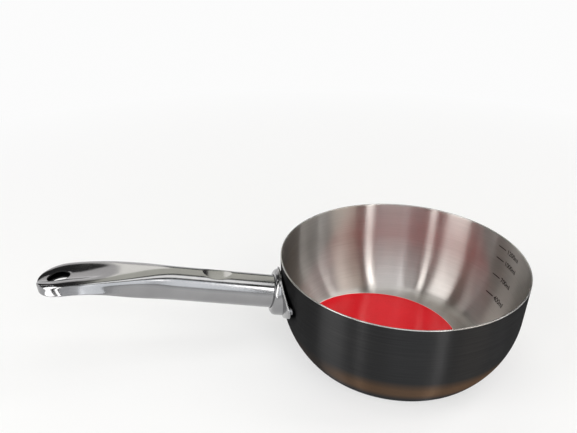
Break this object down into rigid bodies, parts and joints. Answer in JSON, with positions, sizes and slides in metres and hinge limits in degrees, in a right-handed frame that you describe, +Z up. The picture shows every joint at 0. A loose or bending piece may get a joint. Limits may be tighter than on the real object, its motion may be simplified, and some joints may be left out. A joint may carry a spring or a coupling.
{
  "type": "saucepan",
  "caption": "Stainless steel saucepan with a round-walled bowl, flat base, welded lozenge bracket, collar and a rising hollow tube handle with a hanging hole.",
  "frame": {"origin": "centre of the base's underside, on the pan's axis", "axes": "+Z up along the pan's axis, -X along the handle, seen from above"},
  "size_m": [0.3256, 0.168, 0.0724],
  "materials": {
    "brushed_steel": "satin, brushed round the pan",
    "polished_steel": "mirror polished stainless steel",
    "bare_steel": "bare",
    "label_paper": "coated red paper"
  },
  "bodies": {
    "root": {"pan_body": "brushed_steel", "base_label": "label_paper", "handle_bracket": "polished_steel", "bracket_weld_left": "bare_steel", "bracket_weld_right": "bare_steel", "bracket_weld_upper": "bare_steel", "bracket_weld_lower": "bare_steel", "handle_collar": "polished_steel", "handle_spigot": "bare_steel", "handle_tube": "polished_steel"}
  },
  "joints": []
}
